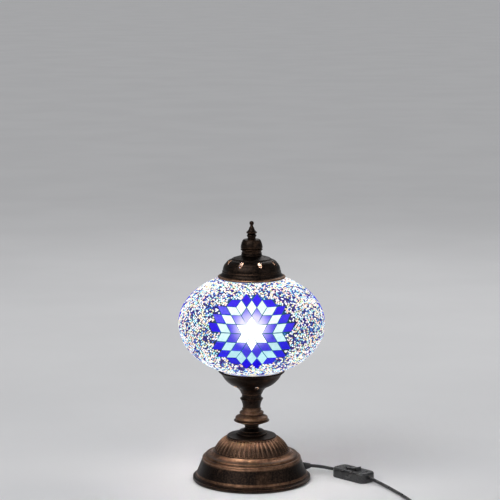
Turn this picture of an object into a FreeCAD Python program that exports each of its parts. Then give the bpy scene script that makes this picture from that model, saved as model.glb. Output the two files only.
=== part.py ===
import FreeCAD, Part
import math
import os

import Sketcher
from FreeCAD import Placement, Rotation, Vector

# A table lamp with a mosaic glass globe. Millimetres, +Z up. The origin is where
# the lamp's axis meets the table, and -Y is the front, where one star faces.

DRIVING_SIZES = [
    # base
    ("pad_thickness", 1.5), ("pad_radius", 78.5),
    ("foot_radius", 80.0), ("foot_height", 5.0), ("skirt_wall", 1.5),
    ("skirt_top", 36.4), ("skirt_top_radius", 59.4),
    ("band_top", 40.4), ("band_radius", 52.6),
    ("weight_height", 3.5), ("weight_bore", 20.0),
    ("dome_radius", 51.0), ("dome_top", 60.0), ("dome_top_radius", 33.0), ("dome_wall", 2.2),
    ("dome_arc_radius", 34.7), ("dome_arc_r", 18.7), ("dome_arc_z", 28.4),
    ("flute_count", 44.0), ("flute_radius", 2.7), ("flute_stand_off", 1.6),
    ("flute_start", 23.0), ("flute_sweep", 40.0),
    # stem
    ("tube_radius", 5.0), ("tube_bore", 4.0), ("tube_bottom", 46.0), ("tube_clearance", 0.3),
    ("waist_radius", 9.2), ("waist_z", 72.6),
    ("knob_bottom", 76.2), ("knob_radius", 23.8), ("neck_bottom", 100.2), ("neck_radius", 15.3),
    # gallery
    ("gallery_bottom", 119.5), ("gallery_rim", 151.9), ("gallery_radius", 44.4), ("gallery_wall", 1.6),
    ("gallery_holes", 6.0), ("gallery_hole_turn", -76.0),
    # lampholder and bulb
    ("holder_bottom", 145.0), ("tube_top", 151.5), ("holder_radius", 14.0),
    ("bulb_tip_z", 162.4), ("bulb_radius", 22.5), ("bulb_centre", 218.0),
    # globe
    ("globe_radius", 99.0), ("globe_half_height", 70.0), ("globe_centre", 215.5),
    ("mosaic_thickness", 2.5), ("glass_thickness", 2.0),
    ("collar_radius", 38.0), ("collar_bottom", 147.0), ("top_opening", 34.0), ("bead_margin", 44.4),
    # star pattern
    ("star_count", 3.0), ("star_height", 220.0), ("tile_edge", 13.4), ("tile_gap", 0.8),
    ("tile_thickness", 2.2), ("tile_bed", 0.3),
    # cap and finial
    ("cap_rim", 278.4), ("cap_rim_radius", 45.2), ("cap_top", 308.0), ("cap_wall", 1.4),
    ("cap_holes", 8.0), ("cap_hole_turn", 19.5),
    ("clip_count", 3.0), ("stud_radius", 3.0), ("bell_top", 330.6), ("spire_bottom", 334.0), ("spire_top", 355.0),
    # cord and what is on it
    ("cord_radius", 2.3), ("cord_exit_turn", 20.0), ("cord_exit_z", 10.5), ("relief_end", 86.0),
    ("switch_x", 139.0), ("switch_y", -1.0), ("switch_turn", -46.0),
    ("switch_half_length", 30.0), ("switch_half_width", 14.0), ("switch_corner", 9.0),
    ("switch_seam", 7.0), ("switch_height", 13.8), ("switch_wall", 1.8),
    ("rocker_pivot_z", 10.6), ("rocker_half_length", 10.0), ("rocker_half_width", 5.0),
    ("rocker_tilt", 8.0), ("pin_radius", 1.0), ("pin_length", 18.0),
    ("coil_x", 180.2), ("coil_y", -187.7), ("coil_outer", 40.1), ("coil_inner", 15.9),
    ("coil_height", 9.3),
    ("plug_x", 112.6), ("plug_y", -230.4), ("plug_turn", 184.0), ("plug_thickness", 13.7),
]

# The cord's route, in short runs with a bend at each point between them.
FIRST_RUN = [(80.8, 29.4, 10.5), (94.2, 34.3, 8.2), (108.3, 30.9, 6.2), (118.2, 20.6, 7.0)]
SECOND_RUN = [
    (159.8, -22.6, 7.0), (169.5, -32.7, 4.4), (182.0, -52.0, 2.5), (193.6, -80.0, 2.4),
    (203.8, -108.0, 2.5), (211.4, -134.0, 2.4), (215.9, -160.0, 2.5), (217.8, -184.7, 2.4),
]
TAIL_RUN = [(180.2, -225.4, 6.9), (166.0, -225.4, 6.0), (152.0, -226.6, 6.2), (137.5, -228.6, 6.8)]

doc = FreeCAD.newDocument("mosaic_lamp")
sheet = doc.addObject("Spreadsheet::Sheet", "sizes")
for row, (alias, number) in enumerate(DRIVING_SIZES, start=1):
    sheet.set(f"A{row}", alias.replace("_", " "))
    sheet.set(f"B{row}", str(number))
    sheet.setAlias(f"B{row}", alias)
doc.recompute()


class Size:
    """A length that knows both its value and the sheet expression that gives it."""

    def __init__(self, value, text):
        self.value = float(value)
        self.text = text

    def combine(self, other, sign, symbol):
        other = as_size(other)
        return Size(self.value + sign * other.value, f"({self.text} {symbol} {other.text})")

    def __add__(self, other):
        return self.combine(other, 1, "+")

    def __sub__(self, other):
        return self.combine(other, -1, "-")

    def __neg__(self):
        return Size(-self.value, f"(-1 * {self.text})")


def as_size(number):
    return number if isinstance(number, Size) else Size(number, repr(float(number)))


class SheetSizes:
    """Gives every alias of the sheet as an attribute."""

    def __getattr__(self, alias):
        return Size(sheet.get(alias), f"sizes.{alias}")


S = SheetSizes()
parts = []


def keep(label, item):
    """Names a finished sub-part; its label is its node's name."""
    item.Label = label
    parts.append(item)
    return item


# ---------------------------------------------------------------- sketch tools


def origin_feature(body, role):
    return next(f for f in body.Origin.OriginFeatures if f.Role == role)


def new_sketch(body, role, name, height=None):
    """A sketch on one of the body's own origin planes, raised along its normal."""
    sketch = body.newObject("Sketcher::SketchObject", name)
    sketch.AttachmentSupport = (origin_feature(body, role), [""])
    sketch.MapMode = "FlatFace"
    if height is not None:
        sketch.setExpression(".AttachmentOffset.Base.z", as_size(height).text)
    return sketch


def tie(sketch, index, position, axis, size):
    """Holds one coordinate of a sketch point at a size from the sheet."""
    if abs(size.value) < 1e-9:
        line = -2 if axis == "X" else -1
        sketch.addConstraint(Sketcher.Constraint("PointOnObject", index, position, line))
        return
    ends = (-1, 1, index, position) if size.value > 0 else (index, position, -1, 1)
    number = sketch.addConstraint(Sketcher.Constraint(f"Distance{axis}", *ends, abs(size.value)))
    sketch.setExpression(f"Constraints[{number}]", size.text if size.value > 0 else (-size).text)


def draw_outline(sketch, points):
    """A closed outline. A point (x, y) is reached by a straight line, and a point
    (x, y, (mx, my)) by an arc through (mx, my). Every point is tied to the sheet."""
    corners = [(as_size(p[0]), as_size(p[1])) for p in points]
    places = [Vector(x.value, y.value, 0) for x, y in corners]
    edges = []
    middles = []
    for i in range(len(points)):
        start, end = places[i], places[(i + 1) % len(points)]
        target = points[(i + 1) % len(points)]
        if len(target) == 3:
            mx, my = as_size(target[2][0]), as_size(target[2][1])
            arc = Part.Arc(start, Vector(mx.value, my.value, 0), end)
            index = sketch.addGeometry(arc)
            forward = sketch.getPoint(index, 1).distanceToPoint(start) < 1e-6
            edges.append((index, 1 if forward else 2, 2 if forward else 1))
            middles.append((index, mx, my))
        else:
            index = sketch.addGeometry(Part.LineSegment(start, end))
            edges.append((index, 1, 2))
    for i, (index, _, last) in enumerate(edges):
        following, first, _ = edges[(i + 1) % len(edges)]
        sketch.addConstraint(Sketcher.Constraint("Coincident", index, last, following, first))
    for (index, first, _), (x, y) in zip(edges, corners):
        tie(sketch, index, first, "X", x)
        tie(sketch, index, first, "Y", y)
    for arc_index, mx, my in middles:
        mark = sketch.addGeometry(Part.Point(Vector(mx.value, my.value, 0)), True)
        sketch.addConstraint(Sketcher.Constraint("PointOnObject", mark, 1, arc_index))
        tie(sketch, mark, 1, "X", mx)
        tie(sketch, mark, 1, "Y", my)


def draw_circle(sketch, x, y, radius):
    x, y, radius = as_size(x), as_size(y), as_size(radius)
    circle = Part.Circle(Vector(x.value, y.value, 0), Vector(0, 0, 1), radius.value)
    index = sketch.addGeometry(circle)
    number = sketch.addConstraint(Sketcher.Constraint("Radius", index, radius.value))
    sketch.setExpression(f"Constraints[{number}]", radius.text)
    tie(sketch, index, 3, "X", x)
    tie(sketch, index, 3, "Y", y)


def rectangle(half_x, half_y):
    half_x, half_y = as_size(half_x), as_size(half_y)
    return [(-half_x, -half_y), (half_x, -half_y), (half_x, half_y), (-half_x, half_y)]


# ---------------------------------------------------------------- solid tools


def turned_body(name, points):
    """A body turned about Z from an outline of (radius, height) points."""
    body = doc.addObject("PartDesign::Body", name)
    sketch = new_sketch(body, "XZ_Plane", name + "_outline")
    draw_outline(sketch, points)
    turn = body.newObject("PartDesign::Revolution", name + "_turn")
    turn.Profile = sketch
    turn.ReferenceAxis = (sketch, ["V_Axis"])
    turn.Angle = 360.0
    return body


def turned(name, points):
    return keep(name, turned_body(name, points))


def pad(body, sketch, length, midplane=False):
    feature = body.newObject("PartDesign::Pad", sketch.Name + "_pad")
    feature.Profile = sketch
    feature.setExpression("Length", as_size(length).text)
    feature.Midplane = midplane
    return feature


def pocket(body, sketch, length):
    """Cuts from the sketch along its normal."""
    feature = body.newObject("PartDesign::Pocket", sketch.Name + "_pocket")
    feature.Profile = sketch
    feature.setExpression("Length", as_size(length).text)
    feature.Reversed = True
    return feature


def through_cut(body, sketch, length):
    """Cuts to both sides of the sketch's plane."""
    feature = pocket(body, sketch, length)
    feature.Midplane = True
    return feature


def round_pattern(body, feature, count_alias):
    """Repeats a feature about the body's Z axis."""
    pattern = body.newObject("PartDesign::PolarPattern", feature.Name + "_pattern")
    pattern.Originals = [feature]
    pattern.Axis = (origin_feature(body, "Z_Axis"), [""])
    pattern.Angle = 360.0
    pattern.setExpression("Occurrences", f"sizes.{count_alias}")
    body.Tip = pattern
    return pattern


def piercing(body, name, radii, place):
    """An egg-shaped cutter: radii along its own X, Y and Z."""
    cutter = body.newObject("PartDesign::SubtractiveEllipsoid", name)
    cutter.Radius2 = radii[0]
    cutter.Radius3 = radii[1]
    cutter.Radius1 = radii[2]
    cutter.Placement = place
    return cutter


def bored_nut(name, across_corners, bottom, height, bore):
    """A hexagon nut on the lamp's axis, bored for the threaded tube or the stud."""
    hexagon = doc.addObject("Part::Prism", name + "_hexagon")
    hexagon.Polygon = 6
    hexagon.Circumradius = across_corners / 2
    hexagon.Height = height
    hexagon.setExpression("Placement.Base.z", as_size(bottom).text)
    hole = doc.addObject("Part::Cylinder", name + "_bore")
    hole.setExpression("Radius", as_size(bore).text)
    hole.Height = height
    hole.setExpression("Placement.Base.z", as_size(bottom).text)
    nut = doc.addObject("Part::Cut", name)
    nut.Base = hexagon
    nut.Tool = hole
    return keep(name, nut)


def feature_from(name, shape):
    """A piece whose shape comes from Part's own functions."""
    feature = doc.addObject("Part::Feature", name)
    feature.Shape = shape
    feature.Placement = shape.Placement
    return keep(name, feature)


def rounded_path(points):
    """Straight runs joined by tangent arcs, each as large as its two runs allow."""
    points = [Vector(*p) for p in points]
    edges = []
    radii = []
    start = points[0]
    for before, corner, after in zip(points, points[1:], points[2:]):
        run_in, run_out = corner - before, after - corner
        half_turn = run_in.getAngle(run_out) / 2
        reach = 0.45 * min(run_in.Length, run_out.Length)
        radii.append(reach / math.tan(half_turn))
        tangent_in = corner - run_in.normalize() * reach
        tangent_out = corner + run_out.normalize() * reach
        inward = (run_out - run_in).normalize()
        depth = radii[-1] * (1 / math.cos(half_turn) - 1)
        edges.append(Part.LineSegment(start, tangent_in).toShape())
        edges.append(Part.Arc(tangent_in, corner + inward * depth, tangent_out).toShape())
        start = tangent_out
    edges.append(Part.LineSegment(start, points[-1]).toShape())
    return Part.Wire(edges), radii


def cord_piece(name, points):
    """A length of round cord along a rounded path."""
    path, radii = rounded_path(points)
    radius = S.cord_radius.value
    heading = Vector(*points[1]) - Vector(*points[0])
    section = Part.Wire(Part.Circle(Vector(*points[0]), heading, radius).toShape())
    solid = path.makePipeShell([section], True, False)
    expected = math.pi * radius**2 * path.Length
    print(f"{name}: length {path.Length:.0f}, radii {[round(r) for r in radii]},",
          f"volume ratio {solid.Volume / expected:.4f}")
    return feature_from(name, solid)


def rounds(radius, height, place):
    """A cylinder that stands on its placement."""
    solid = Part.makeCylinder(radius, height)
    solid.Placement = place
    return solid


# ------------------------------------------------------------------- the base


def make_base():
    foot = S.foot_radius
    pad_top = S.pad_thickness
    turned("felt_pad", [(0, 0), (S.pad_radius, 0), (S.pad_radius, pad_top), (0, pad_top)])

    weight_top = pad_top + S.weight_height
    turned("base_weight", [
        (S.weight_bore, pad_top), (foot - 5, pad_top), (foot - 5, weight_top - 0.5),
        (foot - 5.5, weight_top), (S.weight_bore, weight_top),
    ])

    top, band = S.skirt_top, S.skirt_top_radius
    skirt = turned_body("base_skirt", [
        (foot - 5, pad_top), (foot, pad_top),
        (foot, S.foot_height, (foot + 0.0001, pad_top + 1.7)),
        (foot - 3, S.foot_height + 1.0), (foot - 3.2, S.foot_height + 1.6),
        (foot - 4.5, S.foot_height + 3.4, (foot - 3.3, S.foot_height + 2.8)),
        (band + 8.3, top - 8.4, (band + 11.9, top - 17.6)), (band + 7.5, top - 7.0),
        (band + 5.0, top - 3.6, (band + 7.5, top - 5.0)), (band + 3.9, top - 3.5),
        (band + 1.2, top - 0.3, (band + 3.8, top - 1.5)), (band, top - 0.1),
        (S.band_radius, S.band_top, (band - 4.2, top + 1.2)), (S.band_radius - 3, S.band_top),
        (S.band_radius - 3, S.band_top - S.skirt_wall),
        (S.band_radius - 0.6, S.band_top - S.skirt_wall),
        (band - 0.6, top - 1.8, (band - 4.8, top - 0.5)),
        (band + 6.3, top - 9.2), (band + 10.2, top - 17.6), (foot - 6.1, S.foot_height + 3.2),
        (foot - 5, S.foot_height + 0.5),
    ])
    cord_hole = skirt.newObject("PartDesign::SubtractiveCylinder", "base_skirt_cord_hole")
    cord_hole.Radius = 3.6
    cord_hole.Height = 24
    cord_hole.Placement = cord_exit_place(62)
    skirt.Tip = cord_hole
    keep("base_skirt", skirt)

    edge, high = S.dome_top_radius, S.dome_top
    wall = S.dome_wall
    dome = turned_body("base_dome", [
        (S.tube_radius + S.tube_clearance, high), (S.tube_radius + S.tube_clearance, high - wall),
        (edge - 3.4, high - wall),
        (S.dome_radius - wall, S.band_top, (S.dome_radius - 8.0, S.band_top + 9.2)),
        (S.dome_radius, S.band_top), (S.dome_radius, S.band_top + 0.8),
        (edge, high, (S.dome_arc_r + 26.3, S.dome_arc_z + 22.6)),
    ])
    flute = dome.newObject("PartDesign::SubtractiveTorus", "base_dome_flute")
    flute.setExpression("Radius1", "sizes.dome_arc_radius + sizes.flute_stand_off")
    flute.setExpression("Radius2", "sizes.flute_radius")
    flute.setExpression("Angle3", "sizes.flute_sweep")
    upright = Rotation(Vector(1, 0, 0), 90) * Rotation(Vector(0, 0, 1), S.flute_start.value)
    flute.Placement = Placement(Vector(S.dome_arc_r.value, 0, S.dome_arc_z.value), upright)
    round_pattern(dome, flute, "flute_count")
    keep("base_dome", dome)


def cord_exit_place(radius):
    """A frame on the cord's way out of the base, its Z pointing outwards."""
    turn = math.radians(S.cord_exit_turn.value)
    out = Vector(math.cos(turn), math.sin(turn), 0)
    point = out * radius + Vector(0, 0, S.cord_exit_z.value)
    return Placement(point, Rotation(Vector(0, 0, 1), out))


def make_strain_relief():
    """A rubber sleeve clipped in the skirt's wall, tapering along the cord."""
    length = S.relief_end - 66
    body = turned_body("strain_relief", [
        (S.cord_radius, 0), (5.2, 0), (5.2, 3.4), (3.5, 3.4), (3.5, 10.4), (5.4, 10.4),
        (5.2, 12.2), (3.2, length), (S.cord_radius, length),
    ])
    body.Placement = cord_exit_place(66)
    keep("strain_relief", body)


# ------------------------------------------------------------------- the stem


def make_stem():
    bore = S.tube_radius + S.tube_clearance
    base, edge = S.dome_top, S.dome_top_radius
    knob, low_neck, gallery = S.knob_bottom, S.neck_bottom, S.gallery_bottom
    turned("threaded_tube", [
        (S.tube_bore, S.tube_bottom), (S.tube_radius, S.tube_bottom),
        (S.tube_radius, S.tube_top), (S.tube_bore, S.tube_top),
    ])
    washer_top = base - S.dome_wall
    turned("lower_washer", [
        (bore, washer_top - 1.6), (13, washer_top - 1.6), (13, washer_top), (bore, washer_top),
    ])
    bored_nut("lower_nut", 19.6, washer_top - 7.6, 6, S.tube_radius)
    turned("waist_spool", [
        (bore, base), (edge - 0.2, base), (edge - 0.2, base + 1.5, (edge + 0.4, base + 0.75)),
        (edge - 2.2, base + 1.7), (21.0, base + 3.5, (25.6, base + 2.3)),
        (20.2, base + 5.3, (21.7, base + 4.6)), (16.2, base + 7.6),
        (16.2, base + 8.4, (16.5, base + 8.0)),
        (S.waist_radius, S.waist_z, (11.2, S.waist_z - 2.6)), (S.waist_radius + 0.8, knob),
        (bore, knob),
    ])
    turned("knob_collar", [
        (bore, knob), (S.waist_radius + 0.8, knob), (S.knob_radius, knob + 5.4),
        (S.knob_radius, knob + 6.4, (S.knob_radius + 0.3, knob + 5.9)),
        (S.knob_radius - 2.4, knob + 7.0),
        (S.knob_radius - 2.4, knob + 11.2, (S.knob_radius - 1.7, knob + 9.1)),
        (17.8, knob + 12.8), (15.4, knob + 14.6), (15.4, knob + 18.2, (16.4, knob + 16.6)),
        (12.9, knob + 19.4), (12.3, knob + 20.4), (12.3, knob + 23.0, (13.1, knob + 21.8)),
        (11.5, low_neck), (bore, low_neck),
    ])
    turned("neck_vase", [
        (bore, low_neck), (12.0, low_neck),
        (S.neck_radius, low_neck + 11.4, (12.9, low_neck + 6.0)),
        (S.neck_radius, low_neck + 12.6, (S.neck_radius + 0.4, low_neck + 12.0)),
        (S.neck_radius - 1.4, low_neck + 13.4),
        (13.9, gallery, (13.2, low_neck + 16.4)), (bore, gallery),
    ])


def make_gallery():
    """The dish that carries the globe, pierced with a ring of small petals."""
    low, rim, radius, wall = S.gallery_bottom, S.gallery_rim, S.gallery_radius, S.gallery_wall
    bore = S.tube_radius + S.tube_clearance
    dish = turned_body("gallery", [
        (bore, low), (14.3, low), (25.4, low + 11.0, (18.4, low + 6.8)),
        (radius - 4.2, rim - 6.6, (33.4, low + 16.6)), (radius - 1.4, rim - 3.6),
        (radius, rim - 2.6), (radius, rim - 0.8, (radius + 0.5, rim - 1.7)),
        (radius - 0.8, rim), (radius - 1.6, rim - 0.6), (radius - 2.9, rim - 3.0),
        (radius - 5.2, rim - 5.4), (24.6, low + 12.9, (32.4, low + 18.2)),
        (13.6, low + wall, (17.4, low + 8.2)), (bore, low + wall),
    ])
    tilt = Rotation(Vector(0, 0, 1), S.gallery_hole_turn.value) * Rotation(Vector(0, 1, 0), 50)
    centre = Rotation(Vector(0, 0, 1), S.gallery_hole_turn.value).multVec(Vector(26.6, 0, 130.6))
    hole = piercing(dish, "gallery_hole", (4.2, 2.9, 5.4), Placement(centre, tilt))
    round_pattern(dish, hole, "gallery_holes")
    keep("gallery", dish)

    nut_bottom = low + wall
    bored_nut("upper_nut", 19.6, nut_bottom, 5, S.tube_radius)


def make_globe_clips():
    """Three bent springs that hold the globe's collar, each on its own rivet."""
    clips = []
    rivets = []
    count = int(S.clip_count.value)
    for number in range(count):
        turn = Rotation(Vector(0, 0, 1), 30 + 360 / count * number)
        line = [(16.5, 127.5), (24.2, 134.6), (33.6, 141.2), (34.6, 148.4), (32.6, 152.0),
                (32.0, 151.6), (33.8, 148.2), (32.9, 141.9), (23.6, 135.4), (15.9, 128.2)]
        outline = [Vector(r, -4, z) for r, z in line]
        strip = Part.Face(Part.makePolygon(outline + outline[:1])).extrude(Vector(0, 8, 0))
        clips.append(strip.transformed(Placement(Vector(), turn).toMatrix()))
        seat = Placement(Vector(20.0, 0, 131.9), Rotation(Vector(0, 1, 0), -45))
        head = rounds(1.8, 1.2, Placement(Vector(), turn) * seat)
        rivets.append(head)
    feature_from("globe_clips", Part.makeCompound(clips))
    feature_from("clip_rivets", Part.makeCompound(rivets))


# -------------------------------------------------------- lampholder and bulb


def make_lampholder():
    low, top, wide = S.holder_bottom, S.tube_top, S.holder_radius
    tip = S.bulb_tip_z
    turned("holder_base", [
        (S.tube_radius, low), (8.5, low), (wide - 1.2, low + 3.4, (12.0, low + 1.0)),
        (wide, low + 5.0), (wide, tip - 5.6), (2.6, tip - 5.6), (2.6, top), (S.tube_radius, top),
    ])
    turned("holder_contact", [(0, tip - 5.6), (3.4, tip - 5.6), (3.4, tip - 0.4), (0, tip - 0.4)])
    turned("holder_shell", [
        (7.4, tip - 5.6), (8.1, tip - 5.6), (8.1, tip + 21.4), (7.4, tip + 21.4),
    ])
    turned("holder_sleeve", [
        (8.2, tip - 5.6), (wide, tip - 5.6), (wide, tip + 19.6),
        (wide - 2.4, tip + 22.2, (wide - 0.8, tip + 21.4)), (8.2, tip + 22.2),
    ])


def make_bulb():
    tip, ball, centre = S.bulb_tip_z, S.bulb_radius, S.bulb_centre
    turned("bulb_contact_tip", [(0, tip), (2.6, tip + 0.4), (2.6, tip + 1.2), (0, tip + 1.2)])
    turned("bulb_insulator", [(0, tip + 1.2), (3.2, tip + 1.2), (6.2, tip + 3.6), (0, tip + 3.6)])
    turned("bulb_cap", [
        (0, tip + 3.6), (6.2, tip + 3.6), (6.9, tip + 4.6), (6.9, tip + 21.4), (8.0, tip + 23.2),
        (0, tip + 23.2),
    ])
    neck = tip + 23.2
    turned("bulb_glass", [
        (6.6, neck), (8.0, neck), (12.4, neck + 9.6, (9.2, neck + 4.8)),
        (ball, centre, (20.2, centre - 9.9)), (1, centre + ball, (16.2, centre + 16.0)),
        (0, centre + ball), (0, centre + ball - 1), (1, centre + ball - 1),
        (ball - 1, centre, (15.5, centre + 15.3)),
        (11.5, neck + 10.2, (19.2, centre - 9.5)), (6.6, neck + 2.0, (8.0, neck + 5.8)),
    ])
    stem = rounds(2.0, 22, Placement(Vector(0, 0, neck.value), Rotation()))
    strips = [stem]
    for number in range(4):
        foot = Placement(Vector(), Rotation(Vector(0, 0, 1), 45 + 90 * number))
        lean = Placement(Vector(2.6, 0, neck.value + 14), Rotation(Vector(0, 1, 0), 8))
        strips.append(rounds(0.8, 28, foot * lean))
    feature_from("bulb_filament", strips[0].multiFuse(strips[1:]).removeSplitter())


# ------------------------------------------------------------------ the globe


def ellipsoid(name, inset):
    """A solid the shape of the globe, smaller all round by the inset."""
    solid = doc.addObject("Part::Ellipsoid", name)
    solid.setExpression("Radius1", (S.globe_half_height - inset).text)
    solid.setExpression("Radius2", (S.globe_radius - inset).text)
    solid.setExpression("Radius3", (S.globe_radius - inset).text)
    solid.setExpression("Placement.Base.z", S.globe_centre.text)
    return solid


def post(name, radius, bottom, height):
    solid = doc.addObject("Part::Cylinder", name)
    solid.setExpression("Radius", as_size(radius).text)
    solid.Height = height
    solid.setExpression("Placement.Base.z", as_size(bottom).text)
    return solid


def fused(name, *pieces):
    joined = doc.addObject("Part::MultiFuse", name)
    joined.Shapes = list(pieces)
    return joined


def make_globe_glass():
    """The blown glass: a flattened ball with a collar below and an opening above."""
    collar_height = 16
    outside = fused(
        "glass_outside",
        ellipsoid("glass_ball", S.mosaic_thickness),
        post("glass_collar", S.collar_radius, S.collar_bottom, collar_height),
    )
    inset = S.mosaic_thickness + S.glass_thickness
    inside = fused(
        "glass_inside",
        ellipsoid("glass_hollow", inset),
        post("glass_mouth", S.collar_radius - S.glass_thickness, S.collar_bottom - 5, 30),
        post("glass_opening", S.top_opening, S.globe_centre, 90),
    )
    glass = doc.addObject("Part::Cut", "globe_glass")
    glass.Base = outside
    glass.Tool = inside
    keep("globe_glass", glass)


def globe_point(longitude, latitude_parameter):
    """A point on the glass's outside and the outward normal there."""
    a = S.globe_radius.value - S.mosaic_thickness.value
    c = S.globe_half_height.value - S.mosaic_thickness.value
    r, z = a * math.cos(latitude_parameter), c * math.sin(latitude_parameter)
    place = Vector(r * math.cos(longitude), r * math.sin(longitude), S.globe_centre.value + z)
    out = Vector(r / a**2 * math.cos(longitude), r / a**2 * math.sin(longitude), z / c**2)
    return place, out.normalize()


def laid_on_globe(u, v, facing):
    """The place on the glass of a point (u, v) of the flat star pattern: v is
    measured along the meridian from the star's centre, u along its parallel."""
    a = S.globe_radius.value - S.mosaic_thickness.value
    c = S.globe_half_height.value - S.mosaic_thickness.value
    angle = math.asin((S.star_height.value - S.globe_centre.value) / c)
    steps = 40
    for _ in range(steps):
        slope = math.hypot(a * math.sin(angle), c * math.cos(angle))
        angle += v / steps / slope
    return globe_point(facing + u / (a * math.cos(angle)), angle)


def lattice(k, i, j):
    """A corner of the rhombic lattice: i edges along spoke k, j along the next."""
    edge = S.tile_edge.value
    here, following = math.radians(60 * k), math.radians(60 * (k + 1))
    x = i * math.cos(here) + j * math.cos(following)
    y = i * math.sin(here) + j * math.sin(following)
    return (edge * x, edge * y)


def rhombus(k, i, j):
    return [lattice(k, i, j), lattice(k, i + 1, j), lattice(k, i + 1, j + 1), lattice(k, i, j + 1)]


def star_tiles():
    """The star's rhombic tiles by colour, from the middle outwards."""
    colours = {"clear": [], "mid_blue": [], "pale": [], "deep_blue": []}
    for k in range(6):
        colours["clear"].append(rhombus(k, 0, 0))
        colours["mid_blue"] += [rhombus(k, 1, 0), rhombus(k, 0, 1)]
        colours["pale"] += [rhombus(k, 2, 0), rhombus(k, 1, 1), rhombus(k, 0, 2)]
        colours["deep_blue"] += [rhombus(k, 2, 1), rhombus(k, 1, 2)]
    # One more tile stands in each notch. The two level ones sit above the line.
    colours["deep_blue"] += [rhombus(0, 3, 0), rhombus(2, 0, 3)]
    for k in (1, 2, 4, 5):
        colours["deep_blue"].append([
            lattice(k, 3, 0), lattice(k, 3, 1), lattice(k, 4, 0), lattice(k - 1, 1, 3),
        ])
    return colours


def shrunk(corners, gap):
    """The tile moved in from its neighbours by half the gap on every side."""
    cx = sum(x for x, _ in corners) / len(corners)
    cy = sum(y for _, y in corners) / len(corners)
    inset = 1 - gap / (S.tile_edge.value * math.sin(math.radians(60)))
    return [(cx + (x - cx) * inset, cy + (y - cy) * inset) for x, y in corners]


def tile_solid(corners, facing):
    """A flat piece of glass bedded on the globe, square to it at its middle."""
    corners = shrunk(corners, S.tile_gap.value)
    cx = sum(x for x, _ in corners) / len(corners)
    cy = sum(y for _, y in corners) / len(corners)
    middle, out = laid_on_globe(cx, cy, facing)
    middle += out * S.tile_bed.value
    flat = []
    for x, y in corners:
        place, _ = laid_on_globe(x, y, facing)
        flat.append(place - out * (place - middle).dot(out))
    face = Part.Face(Part.makePolygon(flat + flat[:1]))
    return face.extrude(out * S.tile_thickness.value)


def star_facings():
    count = int(S.star_count.value)
    return [math.radians(-90 + 360 * n / count) for n in range(count)]


def make_stars():
    for colour, tiles in star_tiles().items():
        solids = [tile_solid(tile, facing) for facing in star_facings() for tile in tiles]
        feature_from("star_tiles_" + colour, Part.makeCompound(solids))


def star_outline():
    """The star's outer corners in order, a little outside its tiles."""
    corners = []
    for k in range(6):
        if k == 0:
            corners += [lattice(0, 3, 0), lattice(0, 4, 0), lattice(0, 4, 1)]
        elif k == 3:
            corners += [lattice(2, 1, 4), lattice(2, 0, 4), lattice(2, 0, 3)]
        else:
            corners.append(lattice(k, 4, 0))
        corners += [lattice(k, i, j) for i, j in ((3, 1), (3, 2), (2, 2), (2, 3), (1, 3))]
    margin = 1 + S.tile_gap.value / (3 * S.tile_edge.value)
    return [(x * margin, y * margin) for x, y in corners]


def star_cutter(facing):
    """A pyramid from the globe's middle through the star's outline."""
    centre = Vector(0, 0, S.globe_centre.value)
    ahead = Vector(math.cos(facing), math.sin(facing), 0)
    reach = S.globe_radius.value * 1.25
    base = []
    for x, y in star_outline():
        place, out = laid_on_globe(x, y, facing)
        ray = place + out * (S.mosaic_thickness.value / 2) - centre
        base.append(centre + ray * (reach / ray.dot(ahead)))
    faces = [Part.Face(Part.makePolygon(base + base[:1]))]
    for here, following in zip(base, base[1:] + base[:1]):
        faces.append(Part.Face(Part.makePolygon([centre, here, following, centre])))
    return Part.makeSolid(Part.makeShell(faces))


def make_bead_field():
    """The layer of seed beads and glass chips around the stars."""
    layer = doc.addObject("Part::Cut", "bead_layer")
    layer.Base = ellipsoid("bead_outside", as_size(0))
    layer.Tool = fused(
        "bead_inside",
        ellipsoid("bead_hollow", S.mosaic_thickness),
        post("bead_gap", S.bead_margin, S.collar_bottom - 20, 180),
    )
    doc.recompute()
    cutters = [star_cutter(facing) for facing in star_facings()]
    feature_from("bead_field", layer.Shape.cut(cutters))


# ------------------------------------------------------------ cap and finial


def make_cap():
    rim, top, wide, wall = S.cap_rim, S.cap_top, S.cap_rim_radius, S.cap_wall
    hole = S.stud_radius + 0.2
    cap = turned_body("top_cap", [
        (wide - 2.2, rim), (wide - 0.6, rim), (wide - 0.6, rim + 2.6, (wide + 0.4, rim + 1.3)),
        (wide - 5.6, rim + 9.0, (wide - 4.4, rim + 5.0)), (wide - 6.4, rim + 10.2),
        (34.6, top - 9.8, (38.0, top - 15.0)), (27.4, top - 4.9, (31.8, top - 6.8)),
        (25.4, top - 3.2), (15.0, top, (19.6, top - 1.3)), (hole, top), (hole, top - wall),
        (14.6, top - wall), (24.4, top - 4.6, (19.2, top - 2.7)), (26.6, top - 6.3),
        (33.4, top - 11.0, (30.8, top - 8.1)),
        (wide - 7.9, rim + 9.8, (36.5, top - 15.8)), (wide - 6.9, rim + 8.0),
        (wide - 2.2, rim + 1.6, (wide - 5.6, rim + 4.4)),
    ])
    turn = Rotation(Vector(0, 0, 1), S.cap_hole_turn.value)
    tilt = turn * Rotation(Vector(0, 1, 0), 45)
    centre = turn.multVec(Vector(32.5, 0, 299.6))
    petal = piercing(cap, "cap_petal", (5.6, 2.7, 6.0), Placement(centre, tilt))
    round_pattern(cap, petal, "cap_holes")
    keep("top_cap", cap)

    clips = turned_body("cap_clips", [
        (30.0, rim + 0.9), (wide - 3.2, rim + 0.9), (wide - 3.2, rim + 1.9), (30.0, rim + 1.9),
    ])
    leg = new_sketch(clips, "XY_Plane", "cap_clip_leg", rim - 9)
    draw_outline(leg, [(30.2, -4), (31.2, -4), (31.2, 4), (30.2, 4)])
    leg_pad = pad(clips, leg, 10.2)
    round_pattern(clips, leg_pad, "clip_count")
    keep("cap_clips", clips)


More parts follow.
